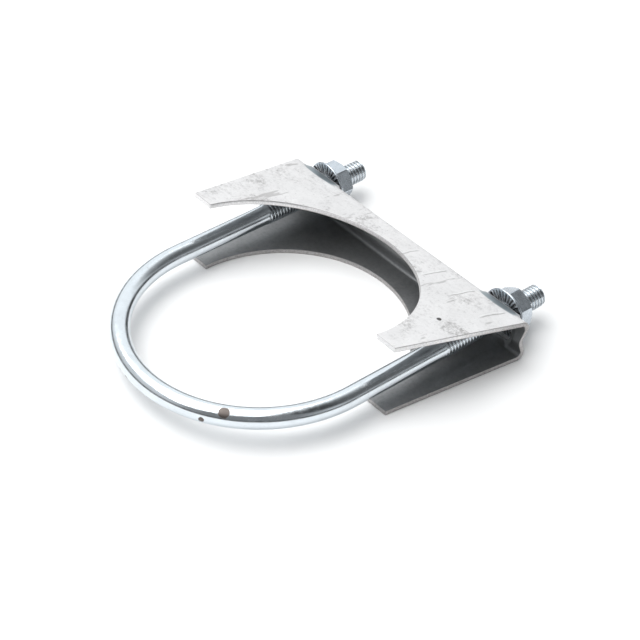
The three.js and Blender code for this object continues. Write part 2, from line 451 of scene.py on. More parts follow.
def serration_tree():
    """Cuts ratchet teeth round a nut's seat into the points marked tooth_share"""
    number = "NodeSocketFloat"
    tree = NodeTree("seat_serrations", {
        "Tooth Count": "NodeSocketInt", "Tooth Depth": number, "Steep Share": number,
        "Leg Offset": number, "Leg Height": number,
    })
    given, calc = tree.given, tree.math
    across, along, up = tree.leg_polar(given["Leg Offset"], given["Leg Height"])
    turn = calc("DIVIDE", calc("ARCTAN2", across, up), TAU)
    phase = calc("FRACT", calc("MULTIPLY", turn, given["Tooth Count"]))
    slow = calc("DIVIDE", phase, calc("SUBTRACT", 1.0, given["Steep Share"]))
    quick = calc("DIVIDE", calc("SUBTRACT", 1.0, phase), given["Steep Share"])
    groove = calc("SUBTRACT", 1.0, calc("MINIMUM", slow, quick))
    hollow = calc("MULTIPLY", groove, tree.attribute("tooth_share"))
    return tree.move(0.0, calc("MULTIPLY", hollow, given["Tooth Depth"]), 0.0, "tooth_hollow", hollow)


def apply_tree(obj, tree, values):
    """Runs a tree over a mesh with these inputs and keeps the result as a plain mesh"""
    modifier = obj.modifiers.new(tree.name, "NODES")
    modifier.node_group = tree
    for item in tree.interface.items_tree:
        if item.in_out == "INPUT" and item.name in values:
            modifier[item.identifier] = values[item.name]
    graph = bpy.context.evaluated_depsgraph_get()
    result = bpy.data.meshes.new_from_object(obj.evaluated_get(graph))
    obj.modifiers.clear()
    spent = obj.data
    obj.data = result
    bpy.data.meshes.remove(spent)


# Materials


class Finish(NodeBench):
    """A node material with one Principled shader and short calls for its nodes"""

    def __init__(self, name):
        self.material = bpy.data.materials.new(name)
        self.material.use_nodes = True
        self.tree = self.material.node_tree
        self.shader = self.tree.nodes["Principled BSDF"]
        self.place = self.add("ShaderNodeTexCoord").outputs["Object"]

    def noise(self, scale, detail=4.0, rough=0.55, stretch=(1, 1, 1), turn=(0, 0, 0)):
        """Noise over the object's own space, stretched along an axis after a turn"""
        place = self.add("ShaderNodeMapping")
        self.feed(place.inputs["Vector"], self.place)
        place.inputs["Scale"].default_value = stretch
        place.inputs["Rotation"].default_value = turn
        node = self.add("ShaderNodeTexNoise")
        self.feed(node.inputs["Vector"], place.outputs[0])
        node.inputs["Scale"].default_value = scale
        node.inputs["Detail"].default_value = detail
        node.inputs["Roughness"].default_value = rough
        return node.outputs["Fac"]

    def spread(self, value, low, high, to_low=0.0, to_high=1.0):
        """A soft step from to_low to to_high while the value goes from low to high"""
        node = self.add("ShaderNodeMapRange", interpolation_type="SMOOTHSTEP")
        self.feed(node.inputs["Value"], value)
        node.inputs["From Min"].default_value = low
        node.inputs["From Max"].default_value = high
        node.inputs["To Min"].default_value = to_low
        node.inputs["To Max"].default_value = to_high
        return node.outputs[0]

    def mix(self, share, first, second):
        """The first colour where the share is 0 and the second where it is 1"""
        node = self.add("ShaderNodeMix", data_type="RGBA")
        self.feed(node.inputs["Factor"], share)
        colours = [socket for socket in node.inputs if socket.type == "RGBA"]
        for socket, colour in zip(colours, (first, second)):
            self.feed(socket, colour if isinstance(colour, bpy.types.NodeSocket) else (*colour, 1.0))
        return [socket for socket in node.outputs if socket.type == "RGBA"][0]

    def attribute(self, name):
        return self.add("ShaderNodeAttribute", attribute_name=name).outputs["Fac"]

    def spot(self, centre, radius, ragged=0.0):
        """1 within a radius of a point and 0 outside, with a ragged edge"""
        apart = self.add("ShaderNodeVectorMath", operation="DISTANCE")
        self.feed(apart.inputs[0], self.place)
        apart.inputs[1].default_value = centre
        reach = apart.outputs["Value"]
        if ragged:
            reach = self.math("ADD", reach, self.math("MULTIPLY", self.noise(700), ragged))
        return self.spread(reach, radius * 0.85 + ragged / 2, radius + ragged / 2, 1.0, 0.0)

    def bump(self, height, strength, distance):
        node = self.add("ShaderNodeBump")
        self.feed(node.inputs["Height"], height)
        node.inputs["Strength"].default_value = strength
        node.inputs["Distance"].default_value = distance
        self.feed(self.shader.inputs["Normal"], node.outputs[0])


def dimmed(colour, share):
    """A colour scaled towards black"""
    return [channel * share for channel in colour]


# Where the rod's plate is missing: heading round the bow, lift round the bar, radius of the spot
BARE_SPOTS = [
    (math.radians(-51.3), math.radians(57.6), 0.0024),
    (math.radians(-59.5), math.radians(-6), 0.0013),
    (math.radians(-97.2), math.radians(-22), 0.0012),
    (math.radians(-102), math.radians(-18), 0.0008),
]
BARE_SPOT_RAGGED = 0.0012


def rod_finish(colours, bar):
    """Bright zinc plate with faint cloudiness, specks and the spots where the plate is missing, and painted
    shade in the thread's hollows
    """
    zinc = Finish("bright_zinc_rod")
    zinc.shader.inputs["Metallic"].default_value = 1.0
    cloud = zinc.spread(zinc.noise(150, 5), 0.35, 0.7)
    speck = zinc.spread(zinc.noise(1400, 2), 0.66, 0.74)
    tone = zinc.mix(cloud, colours.rod_zinc, dimmed(colours.rod_zinc, 0.93))
    tone = zinc.mix(zinc.math("MULTIPLY", speck, 0.35), tone, colours.grime_and_shade)
    bow_centre = Vector((0, ROD_LOW.y + LEG_OFFSET + bar, LEG_HEIGHT))
    lost = 0.0
    for heading, lift, radius in BARE_SPOTS:
        out = LEG_OFFSET + bar * math.cos(lift)
        at = bow_centre + Vector((out * math.cos(heading), out * math.sin(heading), bar * math.sin(lift)))
        lost = zinc.math("MAXIMUM", lost, zinc.spot(at, radius, BARE_SPOT_RAGGED))
    # Painted shade in the hollows of the thread
    thread_root_shade = zinc.spread(zinc.attribute("thread_hollow"), 0.2, 0.9)
    tone = zinc.mix(zinc.math("MULTIPLY", thread_root_shade, 0.55), tone, colours.grime_and_shade)
    tone = zinc.mix(lost, tone, colours.bare_steel)
    zinc.feed(zinc.shader.inputs["Base Color"], tone)
    gloss = zinc.spread(zinc.noise(420, 4), 0.3, 0.75, 0.14, 0.26)
    zinc.feed(zinc.shader.inputs["Roughness"], zinc.math("ADD", gloss, zinc.math("MULTIPLY", lost, 0.3)))
    zinc.bump(zinc.noise(300, 3), 0.03, 0.0002)
    return zinc.material


# A dent in the upper flange, painted as a very dark spot of shade, and the smudges beside it: place and
# radius
DENT = (0.0547, 0.0249, 0.0255)
DENT_RADIUS = 0.0011
DENT_RAGGED = 0.0008
SMUDGES = [
    ((0.0620, 0.0252, 0.0255), 0.0048),
    ((0.0665, 0.0265, 0.0256), 0.0034),
    ((0.0690, 0.0405, 0.0268), 0.0036),
]

# The die's lines across the upper bend: their spacing, the first one's place, and how much they slant
MARK_PITCH = 0.0168
MARK_FIRST = 0.0045
MARK_SLANT = -0.12


def scratches(zinc):
    """Long fine scratches in three directions"""
    lines = zinc.spread(zinc.noise(110, 3, 0.6, (1, 0.07, 1), (0, 0, 0.9)), 0.645, 0.68)
    for scale, turn in ((150, -0.35), (130, 1.45)):
        more = zinc.spread(zinc.noise(scale, 3, 0.6, (1, 0.06, 1), (0, 0, turn)), 0.65, 0.685)
        lines = zinc.math("MAXIMUM", lines, more)
    return lines


def press_marks(zinc):
    """Masks of the faint ridges that the folding die leaves across the upper bend, which carry their relief
    and a painted highlight, and of the painted shadow beside them
    """
    place = zinc.add("ShaderNodeSeparateXYZ")
    zinc.feed(place.inputs[0], zinc.place)
    x, y = place.outputs[0], place.outputs[1]
    wander = zinc.math("MULTIPLY", zinc.math("SUBTRACT", zinc.noise(90, 2), 0.5), 0.003)
    across = zinc.math("ADD", zinc.math("ADD", x, wander), zinc.math("MULTIPLY", y, MARK_SLANT))
    phase = zinc.math("DIVIDE", zinc.math("SUBTRACT", across, MARK_FIRST), MARK_PITCH)
    apart = zinc.math("SUBTRACT", phase, zinc.math("ROUND", phase))
    near_bend = zinc.math("MULTIPLY", zinc.spread(y, 0.040, 0.043), zinc.spread(y, 0.0535, 0.0525))
    where = zinc.math("MULTIPLY", near_bend, zinc.spread(x, 0.008, 0.012))
    ridge_and_highlight = zinc.spread(zinc.math("ABSOLUTE", apart), 0.028, 0.012)
    shade = zinc.spread(zinc.math("ABSOLUTE", zinc.math("SUBTRACT", apart, 0.045)), 0.03, 0.01)
    return zinc.math("MULTIPLY", ridge_and_highlight, where), zinc.math("MULTIPLY", shade, where)


def worn_face_tone(zinc, colours, grain, scratch, ridge_and_highlight, ridge_shadow):
    """Colour of the outer faces: cloudy zinc with rubbing, specks, scratches and smudges, painted highlights
    and shadows at the press marks, and a dark spot of painted shade at the dent
    """
    cloud = zinc.spread(zinc.noise(60, 6, 0.6), 0.3, 0.75)
    speck = zinc.spread(zinc.noise(1300, 3, 0.7), 0.64, 0.72)
    patch = zinc.spread(zinc.noise(42, 6, 0.75), 0.47, 0.64)
    rubbed = zinc.spread(zinc.noise(34, 8, 0.8, (1, 3, 1), (0, 0, 0.5)), 0.53, 0.68)
    worn = zinc.math("MULTIPLY", zinc.math("MAXIMUM", patch, rubbed), grain)
    tone = zinc.mix(cloud, colours.sheet_zinc, dimmed(colours.sheet_zinc, 0.92))
    # The last mask in this list paints shadow beside the press ridges; the others are wear, grain, specks and
    # scratches
    for mask, strength in ((worn, 0.9), (grain, 0.12), (speck, 0.5), (scratch, 0.45), (ridge_shadow, 0.55)):
        tone = zinc.mix(zinc.math("MULTIPLY", mask, strength), tone, colours.grime_and_shade)
    # Painted highlight along the press ridges
    tone = zinc.mix(zinc.math("MULTIPLY", ridge_and_highlight, 0.6), tone, (0.92, 0.92, 0.92))
    for centre, radius in SMUDGES:
        smudge = zinc.math("MULTIPLY", zinc.spot(centre, radius, radius), grain)
        tone = zinc.mix(zinc.math("MULTIPLY", smudge, 0.75), tone, colours.grime_and_shade)
    # Painted shade: the dent is not modelled, so a very dark spot stands in for it
    return zinc.mix(zinc.spot(DENT, DENT_RADIUS, DENT_RAGGED), tone, dimmed(colours.grime_and_shade, 0.3))


def cut_edge_tone(zinc, colours):
    """Colour of the sheared edges: torn bare zinc, darker towards the lower flange"""
    torn = zinc.spread(zinc.noise(1500, 4), 0.3, 0.75)
    edge = zinc.mix(torn, dimmed(colours.sheet_zinc, 1.08), dimmed(colours.sheet_zinc, 0.85))
    place = zinc.add("ShaderNodeSeparateXYZ")
    zinc.feed(place.inputs[0], zinc.place)
    # Darker towards the bottom
    low_down = zinc.spread(place.outputs[2], 0.017, 0.026, 0.9, 0.0)
    uneven = zinc.spread(torn, 0.0, 1.0, 0.75, 1.0)
    return zinc.mix(zinc.math("MULTIPLY", low_down, uneven), edge, colours.grime_and_shade)


def sheet_finish(colours):
    """Galvanized sheet, satin, with scuffs, specks, rubbing marks and bare cut edges, and painted light:
    shade on the channel's inner faces, shade and reflection on the ramps in the upper bend, highlights and
    shadows at the press marks, a dark spot of shade at the dent and a dark line of shade along the edge
    breaks
    """
    zinc = Finish("galvanized_sheet")
    zinc.shader.inputs["Metallic"].default_value = 0.8
    grain = zinc.spread(zinc.noise(650, 6, 0.75), 0.35, 0.75)
    scratch = scratches(zinc)
    ridge_and_highlight, ridge_shadow = press_marks(zinc)
    tone = worn_face_tone(zinc, colours, grain, scratch, ridge_and_highlight, ridge_shadow)
    # Painted shade and reflection on the ramps in the upper bend
    tone = zinc.mix(zinc.attribute("ramp_shade_share"), tone, colours.ramp_painted_shade)
    # Painted shade on the channel's inner faces, mottled by the grain
    mottled = zinc.math("MULTIPLY", grain, 0.5)
    inside_shade_tone = zinc.mix(mottled, colours.inside_painted_shade, dimmed(colours.inside_painted_shade, 0.6))
    tone = zinc.mix(zinc.attribute("inside_face"), tone, inside_shade_tone)
    cut = zinc.attribute("cut_edge")
    tone = zinc.mix(cut, tone, cut_edge_tone(zinc, colours))
    # Painted shade: a dark line along the break between each face and the cut edge
    edge_break_shade = zinc.math("MULTIPLY", zinc.math("MULTIPLY", cut, zinc.math("SUBTRACT", 1.0, cut)), 2.6)
    tone = zinc.mix(edge_break_shade, tone, colours.grime_and_shade)
    zinc.feed(zinc.shader.inputs["Base Color"], tone)
    gloss = zinc.spread(zinc.noise(70, 5), 0.3, 0.75, 0.40, 0.55)
    zinc.feed(zinc.shader.inputs["Roughness"], gloss)
    relief = zinc.math("ADD", zinc.noise(500, 4), zinc.math("MULTIPLY", scratch, -0.6))
    zinc.bump(zinc.math("ADD", relief, zinc.math("MULTIPLY", ridge_and_highlight, 1.5)), 0.15, 0.0002)
    return zinc.material


def nut_finish(colours):
    """Blue-grey zinc plate, semi-gloss, duller and darker over the serrated seat, with painted shade in the
    tooth grooves and along the bore's thread
    """
    zinc = Finish("nut_zinc")
    zinc.shader.inputs["Metallic"].default_value = 1.0
    cloud = zinc.spread(zinc.noise(300, 5), 0.3, 0.7)
    teeth = zinc.spread(zinc.attribute("tooth_hollow"), 0.15, 0.8)
    tone = zinc.mix(cloud, colours.nut_zinc, dimmed(colours.nut_zinc, 0.85))
    # Darker over the whole serrated seat
    tone = zinc.mix(zinc.math("MULTIPLY", zinc.attribute("tooth_share"), 0.35), tone, colours.grime_and_shade)
    # Painted shade in the tooth grooves
    tone = zinc.mix(zinc.math("MULTIPLY", teeth, 0.8), tone, dimmed(colours.grime_and_shade, 0.3))
    # Painted shade along the thread in the bore
    tone = zinc.mix(zinc.math("MULTIPLY", zinc.attribute("thread_hollow"), 0.5), tone, colours.grime_and_shade)
    zinc.feed(zinc.shader.inputs["Base Color"], tone)
    zinc.feed(zinc.shader.inputs["Roughness"], zinc.spread(zinc.noise(500, 3), 0.3, 0.7, 0.2, 0.32))
    zinc.bump(zinc.noise(1100, 3), 0.08, 0.0002)
    return zinc.material


def floor_finish(colour):
    """Plain matt floor"""
    plain = Finish("plain_floor")
    plain.shader.inputs["Base Color"].default_value = (*colour, 1.0)
    plain.shader.inputs["Roughness"].default_value = 0.9
    plain.shader.inputs["Specular IOR Level"].default_value = 0.0
    return plain.material


# U-bolt


PLAIN_STEPS = 6


def leg_stations(rod, thread):
    """Rings from a leg's tip to its bow, each a (y, radius, thread share), and the bow centre's y"""
    tip = ROD_HIGH.y
    start = tip - thread.length
    flat = CREST_RADIUS - rod.end_chamfer
    stations = [
        (tip - rod.end_dimple, 0.0, 0.0),
        (tip - rod.end_dimple * 0.7, flat * 0.35, 0.0),
        (tip, flat * 0.7, 0.0),
        (tip, flat, 0.0),
    ]
    step = thread.pitch / thread.rings_per_pitch
    count = int((thread.length - rod.lead_in) / step)
    for i in range(1, count):
        y = tip - i * step
        radius = min(CREST_RADIUS, flat + tip - y)
        share = min(1.0, (y - start) / thread.pitch)
        stations.append((y, radius, max(0.0, share)))
    stations.append((start, CREST_RADIUS - rod.lead_in * 0.2, 0.0))
    stations.append((start - rod.lead_in, rod.shank_radius, 0.0))
    bow_y = ROD_LOW.y + LEG_OFFSET + rod.shank_radius
    plain = start - rod.lead_in - bow_y
    for i in range(1, PLAIN_STEPS + 1):
        stations.append((start - rod.lead_in - plain * i / PLAIN_STEPS, rod.shank_radius, 0.0))
    return stations, bow_y


def rod_mesh(rod, thread):
    """The whole rod as rings from the left tip round the bow to the right tip, a point at each end"""
    stations, bow_y = leg_stations(rod, thread)
    rings = []
    for y, radius, share in stations:
        rings.append((Vector((-LEG_OFFSET, y, LEG_HEIGHT)), Vector((-1, 0, 0)), radius, share))
    for i in range(1, rod.bow_steps):
        angle = math.pi * (1 + i / rod.bow_steps)
        out = Vector((math.cos(angle), math.sin(angle), 0))
        centre = Vector((0, bow_y, LEG_HEIGHT)) + LEG_OFFSET * out
        rings.append((centre, out, rod.shank_radius, 0.0))
    for y, radius, share in reversed(stations):
        rings.append((Vector((LEG_OFFSET, y, LEG_HEIGHT)), Vector((1, 0, 0)), radius, share))
    sides = rod.sides
    vertices, shares = [rings[0][0]], [0.0]
    for centre, out, radius, share in rings[1:-1]:
        for k in range(sides):
            angle = TAU * k / sides
            offset = math.cos(angle) * out + math.sin(angle) * Vector((0, 0, 1))
            vertices.append(centre + radius * offset)
            shares.append(share)
    vertices.append(rings[-1][0])
    shares.append(0.0)
    faces = [tuple(1 + index for index in face) for face in ring_faces(len(rings) - 2, sides, False)]
    last = len(vertices) - 1
    for k in range(sides):
        n = (k + 1) % sides
        faces.append((0, 1 + k, 1 + n))
        faces.append((last, last - sides + n, last - sides + k))
    return mesh_object("threaded_u_bolt", vertices, faces, {"thread_share": shares})


class ClampMakeRod(bpy.types.Operator):
    """Makes the U-bolt: one bent rod with a rolled thread on both legs"""

    bl_idname = "pipe_clamp.make_rod"
    bl_label = "Make U-bolt"

    def execute(self, context):
        scene = context.scene
        rod, thread = scene.clamp_rod, scene.clamp_thread
        piece = rod_mesh(rod, thread)
        apply_tree(piece, thread_tree(), {
            "Pitch": thread.pitch, "Crest Radius": CREST_RADIUS, "Root Radius": thread.root_radius,
            "Leg Offset": LEG_OFFSET, "Leg Height": LEG_HEIGHT,
            "Crest Share": CREST_SHARE, "Root Share": ROOT_SHARE, "Inside": False,
            "Material": rod_finish(scene.clamp_finish, rod.shank_radius),
        })
        finish_shading(piece, math.radians(40))
        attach(piece, "u_bolt")
        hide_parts("u_bolt")
        return {"FINISHED"}


# Nuts


HEXAGON_SIDES = 6
RIM_ROUND = 0.0003
RIM_FOOT_BREAK = (0.0001, 0.00012)
RIM_TOP_BREAK = 0.00008
FACE_BREAK = 0.0001
SWEEP_STEPS = 12
CHAMFER_STEPS = 12


def hexagon_radius(nut, angle, heading):
    """Distance from the axis to the hexagon's side, its corners slightly rounded"""
    total = 0.0
    for side in range(HEXAGON_SIDES):
        facing = math.cos(angle - heading - side * TAU / HEXAGON_SIDES)
        if facing > 0:
            total += facing ** nut.corner_sharpness
    return nut.across_flats / 2 / total ** (1 / nut.corner_sharpness)


# A row of a nut's section is its y, its radius, which outline it follows, and its tooth and thread shares


def seat_rows(nut, flange):
    """The serrated seat, from the bore's mouth out to the flange's rim"""
    mouth = nut.countersink_radius
    reach = flange - RIM_ROUND - mouth
    rows = [(0.0, mouth, "round", 0.0, 0.0)]
    for share in (0.12, 0.3, 0.48, 0.66, 0.84):
        rows.append((0.0, mouth + reach * share, "round", 1.0, 0.0))
    rows.append((0.0, mouth + reach, "round", 0.0, 0.0))
    return rows


def flange_rows(nut, flange):
    """The flange's rounded rim and the hollow sweep from it up to the flats"""
    rim = nut.flange_rim
    sweep_foot = rim * 1.12
    edge = [RIM_FOOT_BREAK, (RIM_ROUND, 0.0), (rim * 0.8, 0.0), (rim, RIM_TOP_BREAK), (sweep_foot, RIM_ROUND)]
    rows = [(y, flange - inset, "flange", 0.0, 0.0) for y, inset in edge]
    outside = flange - RIM_ROUND
    for i in range(1, SWEEP_STEPS + 1):
        share = i / SWEEP_STEPS
        y = sweep_foot + (nut.flange_height - sweep_foot) * (1 - (1 - share) ** 1.6)
        rows.append((y, outside + (nut.across_flats / 2 - outside) * share, "flange", 0.0, 0.0))
    return rows


def hexagon_rows(nut, height):
    """The flats, the chamfer over their corners and the flat end face"""
    slope = math.tan(nut.chamfer_angle)
    chamfer_circle = nut.across_flats / 2 - nut.face_margin
    corner = nut.across_flats / math.sqrt(3)
    chamfer_foot = height - (corner - chamfer_circle) * slope
    rows = []
    for share in (0.08, 0.4, 0.7, 0.97):
        y = nut.flange_height + (chamfer_foot - nut.flange_height) * share
        rows.append((y, corner, "hexagon", 0.0, 0.0))
    for i in range(CHAMFER_STEPS):
        y = chamfer_foot + (height - chamfer_foot) * i / CHAMFER_STEPS
        rows.append((y, chamfer_circle + (height - y) / slope, "hexagon", 0.0, 0.0))
    mouth = nut.countersink_radius
    rows.append((height - FACE_BREAK / 5, chamfer_circle, "round", 0.0, 0.0))
    for radius in (chamfer_circle - FACE_BREAK, (chamfer_circle + mouth) / 2, mouth + FACE_BREAK):
        rows.append((height, radius, "round", 0.0, 0.0))
    return rows


def bore_rows(nut, thread, height):
    """The threaded bore from the end face down to the seat, countersunk at both ends"""
    mouth = nut.countersink_radius
    minor = thread.root_radius + thread.nut_clearance
    count = round(height / (thread.pitch / thread.rings_per_pitch))
    rows = []
    for i in range(count + 1):
        y = height * (1 - i / count)
        from_end = min(y, height - y)
        share = min(1.0, max(0.0, from_end / (mouth - minor) * 3))
        rows.append((y, max(minor, mouth - from_end), "round", 0.0, share))
    return rows


def nut_profile(nut, thread, height, flange):
    """The nut's section round from the seat, over the hexagon and back down the bore"""
    return seat_rows(nut, flange) + flange_rows(nut, flange) + hexagon_rows(nut, height) \
        + bore_rows(nut, thread, height)


def nut_mesh(name, nut, thread, heading):
    """One nut as rings round its own axis"""
    low, high = NUT_BOXES[name]
    height = high.y - low.y
    flange = (high.z - low.z) / 2
    centre = Vector(((low.x + high.x) / 2, low.y, LEG_HEIGHT))
    rows = nut_profile(nut, thread, height, flange)
    vertices, teeth, threads = [], [], []
    hexagon = [hexagon_radius(nut, TAU * k / nut.sides, heading) for k in range(nut.sides)]
    for y, radius, kind, tooth, share in rows:
        for k in range(nut.sides):
            angle = TAU * k / nut.sides
            reach = radius
            if kind == "hexagon":
                reach = min(radius, hexagon[k])
            if kind == "flange" and y > nut.flange_rim:
                reach = max(radius, min(hexagon[k], flange))
            vertices.append(centre + Vector((reach * math.sin(angle), y, reach * math.cos(angle))))
            teeth.append(tooth)
            threads.append(share)
    faces = ring_faces(len(rows), nut.sides, True)
    marks = {"tooth_share": teeth, "thread_share": threads}
    return mesh_object(f"serrated_{name}", vertices, faces, marks)


def flat_heading(name):
    """The direction that one of a nut's flats faces, from the record's mount on that flat"""
    mount = next(m for m in frame["record"]["mounts"] if m["name"] == f"{name}_flat")
    return math.atan2(mount["axis"][0], mount["axis"][2])


class ClampMakeNuts(bpy.types.Operator):
    """Makes the two serrated flange nuts, threaded to match the legs"""

    bl_idname = "pipe_clamp.make_nuts"
    bl_label = "Make flange nuts"

    def execute(self, context):
        scene = context.scene
        nut, thread = scene.clamp_nut, scene.clamp_thread
        finish = nut_finish(scene.clamp_finish)
        cut_thread, cut_teeth = thread_tree(), serration_tree()
        place = {"Leg Offset": LEG_OFFSET, "Leg Height": LEG_HEIGHT, "Material": finish}
        for name in NUT_BOXES:
            piece = nut_mesh(name, nut, thread, flat_heading(name))
            apply_tree(piece, cut_thread, {
                "Pitch": thread.pitch, "Crest Radius": CREST_RADIUS + thread.nut_clearance,
                "Root Radius": thread.root_radius + thread.nut_clearance,
                "Crest Share": CREST_SHARE, "Root Share": ROOT_SHARE, "Inside": True, **place,
            })
            apply_tree(piece, cut_teeth, {
                "Tooth Count": nut.tooth_count, "Tooth Depth": nut.tooth_depth,
                "Steep Share": STEEP_SHARE, **place,
            })
            finish_shading(piece, math.radians(32))
            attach(piece, name)
            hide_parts(name)
        return {"FINISHED"}


# Saddle


def filleted(corners, radius, steps):
    """A line through these corners with each inner corner rounded to a radius"""
    points = [corners[0]]
    for before, at, after in zip(corners, corners[1:], corners[2:]):
        back, ahead = (before - at).normalized(), (after - at).normalized()
        half = back.angle(ahead) / 2
        reach = min(radius / math.tan(half), (before - at).length * 0.45, (after - at).length * 0.45)
        first, last = at + back * reach, at + ahead * reach
        for i in range(steps + 1):
            t = i / steps
            points.append(first * (1 - t) ** 2 + at * 2 * t * (1 - t) + last * t ** 2)
    points.append(corners[-1])
    return points


def inset_line(corners, distance):
    """The same line moved to its right by a distance, its corners mitred"""
    normals = []
    for a, b in zip(corners, corners[1:]):
        run = (b - a).normalized()
        normals.append(Vector((run.y, -run.x)))
    moved = [corners[0] + normals[0] * distance]
    for corner, n, m in zip(corners[1:], normals, normals[1:]):
        moved.append(corner + (n + m) * (distance / (1 + n.dot(m))))
    moved.append(corners[-1] + normals[-1] * distance)
    return moved


def resampled(points, count):
    """Evenly spaced points along a line"""
    lengths = np.cumsum([0.0] + [(b - a).length for a, b in zip(points, points[1:])])
    wanted = np.linspace(0, lengths[-1], count)
    xs = np.interp(wanted, lengths, [p.x for p in points])
    ys = np.interp(wanted, lengths, [p.y for p in points])
    return np.stack([xs, ys], 1)


FLANGE_ROWS = 26
BEND_ROWS = 22
WEB_ROWS = 30

# The sheet's edges are eased: how far each face stops short of the cut, and each row across the cut
OUTER_TRIM = 0.00022
INNER_TRIM = 0.00012
EDGE_ROWS = ((0.12, 0.00004), (0.45, 0.0), (0.88, 0.00002))

# The ramp's run-in ahead of its start, its run-out behind the bend, and its corners' radii
RAMP_LEAD = 0.0004
RAMP_TAIL = 0.0012
RAMP_OUTER_ROUND = 0.0011
RAMP_INNER_ROUND = 0.0005
RAMP_ROUND_STEPS = 6


def smooth(value):
    """0 to 1 with a soft start and end"""
    value = np.clip(value, 0, 1)
    return value * value * (3 - 2 * value)


class SaddleSurface:
    """Points of the folded sheet, at any depth below its outer face"""

    def __init__(self, sizes):
        self.s = sizes
        self.bend_height = sizes.web_height / 2 - sizes.bend_radius
        self.reach = sizes.behind_arc + sizes.arc_radius
        self.back_half = SADDLE_HIGH.x
        self.tip_half = sizes.arc_radius + sizes.tip_width
        lean = math.sin(sizes.splay)
        self.middle = (sizes.bend_radius + self.bend_height * math.cos(sizes.splay)
                       - sizes.bend_radius * lean)
        seat_top = (sizes.web_height - sizes.bend_radius) / 2
        self.web_y = SADDLE_HIGH.y - seat_top * lean - sizes.seat_stand_off * math.cos(sizes.splay)
        self.across = np.linspace(-1, 1, sizes.columns + 1)

    def to_part(self, points):
        """From the saddle's own frame to where it lies, leaning back on its lower flange"""
        c, s = math.cos(self.s.splay), math.sin(self.s.splay)
        x, y, z = points[..., 0], points[..., 1], points[..., 2]
        return np.stack([x, y * c + z * s + self.web_y, -y * s + z * c + self.middle], -1)

    def half_width(self, y):
        """Half the saddle's width, which narrows from the web to the wing tips"""
        share = np.clip((y + self.reach) / self.reach, 0, 1)
        return self.tip_half + (self.back_half - self.tip_half) * share

    def front(self, trim):
        """Plan points of the flange's front edge from left to right, pulled back by the trim"""
        s = self.s
        radius = s.arc_radius + trim
        arc_length = math.pi * s.arc_radius
        share = arc_length / (arc_length + 2 * s.tip_width)
        theta = np.clip(self.across / share * math.pi / 2, -math.pi / 2, math.pi / 2)
        tip_y = -self.reach + trim
        arc_x = radius * np.sin(theta)
        arc_y = np.maximum(-self.reach + radius * np.cos(theta), tip_y)
        beyond = np.clip((np.abs(self.across) - share) / (1 - share), 0, 1)
        edge = self.half_width(tip_y) - trim
        tip_x = np.sign(self.across) * (radius + (edge - radius) * beyond)
        on_arc = np.abs(self.across) < share
        return np.where(on_arc, arc_x, tip_x), np.where(on_arc, arc_y, tip_y)

    def lens(self, x):
        """How far each seat's ramp is pressed in across the saddle, 1 at the leg and 0 past the seat"""
        away = np.abs(np.abs(x) - LEG_OFFSET) / self.s.seat_radius
        return np.clip(1 - away ** 2, 0, 1) ** 0.75

    def disc(self, x, z):
        """1 on a nut's round seat and 0 away from it"""
        away = np.hypot(np.abs(x) - LEG_OFFSET, z - self.s.leg_above_middle)
        rim = self.s.seat_radius
        return smooth((rim * 1.12 - away) / (rim * 0.18))

    def ramp_line(self, depth):
        """Section of the upper bend where a seat is pressed in"""
        s = self.s
        top = self.bend_height + s.bend_radius / math.cos(s.splay)
        slope = math.tan(s.splay)
        bend_y = -s.bend_radius + s.bend_radius * math.sin(s.splay)
        first_y = -s.ramp_front - RAMP_LEAD
        corners = [
            Vector((bend_y - RAMP_TAIL, top + (RAMP_TAIL - bend_y - s.bend_radius) * slope)),
            Vector((first_y, top + (-first_y - s.bend_radius) * slope)),
            Vector((s.seat_stand_off, top - s.ramp_drop)),
            Vector((s.seat_stand_off, self.bend_height)),
        ]
        moved = inset_line(corners, depth) if depth else corners
        radius = RAMP_OUTER_ROUND if depth < s.sheet / 2 else RAMP_INNER_ROUND
        return resampled(filleted(moved, radius, RAMP_ROUND_STEPS), BEND_ROWS + 1)

    def flange_rows(self, depth, trim):
        """Rows of the upper flange, from its front edge back to the bend"""
        s, u = self.s, self.across
        rho = s.bend_radius
        r = rho - depth
        bend_y = -rho + r * math.sin(s.splay)
        front_x, front_y = self.front(trim)
        rows = []
        for i in range(FLANGE_ROWS):
            v = i / FLANGE_ROWS
            y = front_y + (bend_y - front_y) * v
            back_x = u * (self.half_width(bend_y) - trim)
            x = front_x + (back_x - front_x) * v
            edge = np.clip((np.abs(u) - 0.98) / 0.02, 0, 1)
            limit = self.half_width(y) - trim
            x = np.sign(x) * (np.abs(x) * (1 - edge) + limit * edge)
            z = self.bend_height + r / math.cos(s.splay) + (-y - rho) * math.tan(s.splay)
            rows.append(np.stack([x, y, z], 1))
        return rows

    def bend_rows(self, depth, trim):
        """Rows of the upper bend and of the lower one, and how strongly each upper row is painted with the
        ramp's shade and reflection
        """
        s, u = self.s, self.across
        rho = s.bend_radius
        r = rho - depth
        ramp = self.ramp_line(depth)
        upper, lower, pressed = [], [], []
        for i in range(BEND_ROWS + 1):
            q = i / BEND_ROWS
            angle = (math.pi / 2 - s.splay) * (1 - q)
            y = -rho + r * math.cos(angle)
            z = self.bend_height + r * math.sin(angle)
            x = u * (self.half_width(np.full_like(u, y)) - trim)
            blend = smooth(q)
            weight = (1 - blend) * self.lens(x) + blend * self.disc(x, self.bend_height)
            ramp_y = y + (ramp[i, 0] - y) * weight
            ramp_z = z + (ramp[i, 1] - z) * weight
            upper.append(np.stack([x, ramp_y, ramp_z], 1))
